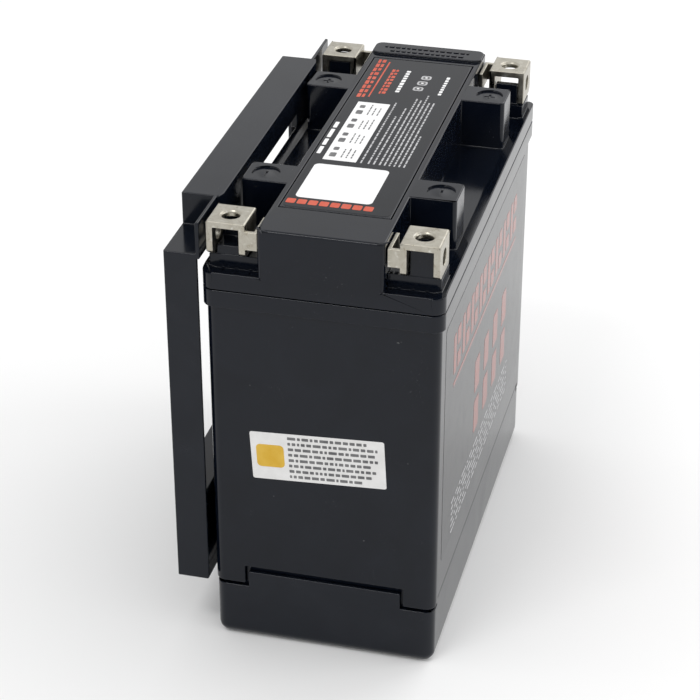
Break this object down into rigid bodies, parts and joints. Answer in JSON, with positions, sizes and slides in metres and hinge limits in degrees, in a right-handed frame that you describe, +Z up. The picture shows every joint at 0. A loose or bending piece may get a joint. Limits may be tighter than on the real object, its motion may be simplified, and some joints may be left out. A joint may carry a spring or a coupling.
{
  "type": "motorcycle battery",
  "caption": "Sealed lead-acid motorcycle battery in a black box with channel terminals at its corners, a clip-on side spacer frame and a tray-shaped bottom spacer.",
  "frame": {"origin": "bottom centre of the whole outline, on the floor under the bottom spacer", "axes": "+X along the width, away from the side spacer; +Y along the length, from the negative terminals to the positive terminals; +Z up"},
  "size_m": [0.1, 0.175, 0.1758],
  "materials": {
    "case_plastic": "glossy black moulded polypropylene",
    "spacer_plastic": "satin to glossy black moulded plastic",
    "nickel_plate": "warm worn nickel plate",
    "lead": "dull cast lead",
    "positive_plate": "dark brown lead dioxide paste",
    "negative_plate": "grey sponge lead paste",
    "glass_mat": "white felted glass fibre",
    "valve_rubber": "matte black rubber",
    "sealing_resin": "dark sealing resin",
    "dark_label": "printed dark plastic film",
    "white_label": "printed white plastic film"
  },
  "bodies": {
    "battery": {"case": "case_plastic", "lid": "case_plastic", "vent_cover": "case_plastic", "negative_terminal_left": "nickel_plate", "negative_terminal_right": "nickel_plate", "negative_link": "lead", "negative_post": "lead", "negative_post_seal": "sealing_resin", "positive_terminal_left": "nickel_plate", "positive_terminal_right": "nickel_plate", "positive_link": "lead", "positive_post": "lead", "positive_post_seal": "sealing_resin", "positive_plates_1": "positive_plate", "negative_plates_1": "negative_plate", "separator_1": "glass_mat", "positive_plates_2": "positive_plate", "negative_plates_2": "negative_plate", "separator_2": "glass_mat", "positive_plates_3": "positive_plate", "negative_plates_3": "negative_plate", "separator_3": "glass_mat", "positive_plates_4": "positive_plate", "negative_plates_4": "negative_plate", "separator_4": "glass_mat", "positive_plates_5": "positive_plate", "negative_plates_5": "negative_plate", "separator_5": "glass_mat", "positive_plates_6": "positive_plate", "negative_plates_6": "negative_plate", "separator_6": "glass_mat", "cell_connector_1": "lead", "cell_connector_2": "lead", "cell_connector_3": "lead", "cell_connector_4": "lead", "cell_connector_5": "lead", "top_label": "dark_label", "side_label": "dark_label", "end_label": "white_label"},
    "side_spacer": {"side_spacer": "spacer_plastic"},
    "bottom_spacer": {"bottom_spacer": "spacer_plastic"},
    "valve_cap_1": {"valve_cap_1": "valve_rubber"},
    "valve_cap_2": {"valve_cap_2": "valve_rubber"},
    "valve_cap_3": {"valve_cap_3": "valve_rubber"},
    "valve_cap_4": {"valve_cap_4": "valve_rubber"},
    "valve_cap_5": {"valve_cap_5": "valve_rubber"},
    "valve_cap_6": {"valve_cap_6": "valve_rubber"}
  },
  "joints": [
    {"name": "bottom_spacer_pull", "type": "slide", "parent": "battery", "child": "bottom_spacer", "axis": [0, 0, -1], "range_m": [0, 0.04]},
    {"name": "side_spacer_pull", "type": "slide", "parent": "battery", "child": "side_spacer", "axis": [-1, 0, 0], "range_m": [0, 0.05]},
    {"name": "valve_cap_1_lift", "type": "slide", "parent": "battery", "child": "valve_cap_1", "axis": [0, 0, 1], "range_m": [0, 0.0005]},
    {"name": "valve_cap_2_lift", "type": "slide", "parent": "battery", "child": "valve_cap_2", "axis": [0, 0, 1], "range_m": [0, 0.0005]},
    {"name": "valve_cap_3_lift", "type": "slide", "parent": "battery", "child": "valve_cap_3", "axis": [0, 0, 1], "range_m": [0, 0.0005]},
    {"name": "valve_cap_4_lift", "type": "slide", "parent": "battery", "child": "valve_cap_4", "axis": [0, 0, 1], "range_m": [0, 0.0005]},
    {"name": "valve_cap_5_lift", "type": "slide", "parent": "battery", "child": "valve_cap_5", "axis": [0, 0, 1], "range_m": [0, 0.0005]},
    {"name": "valve_cap_6_lift", "type": "slide", "parent": "battery", "child": "valve_cap_6", "axis": [0, 0, 1], "range_m": [0, 0.0005]}
  ]
}
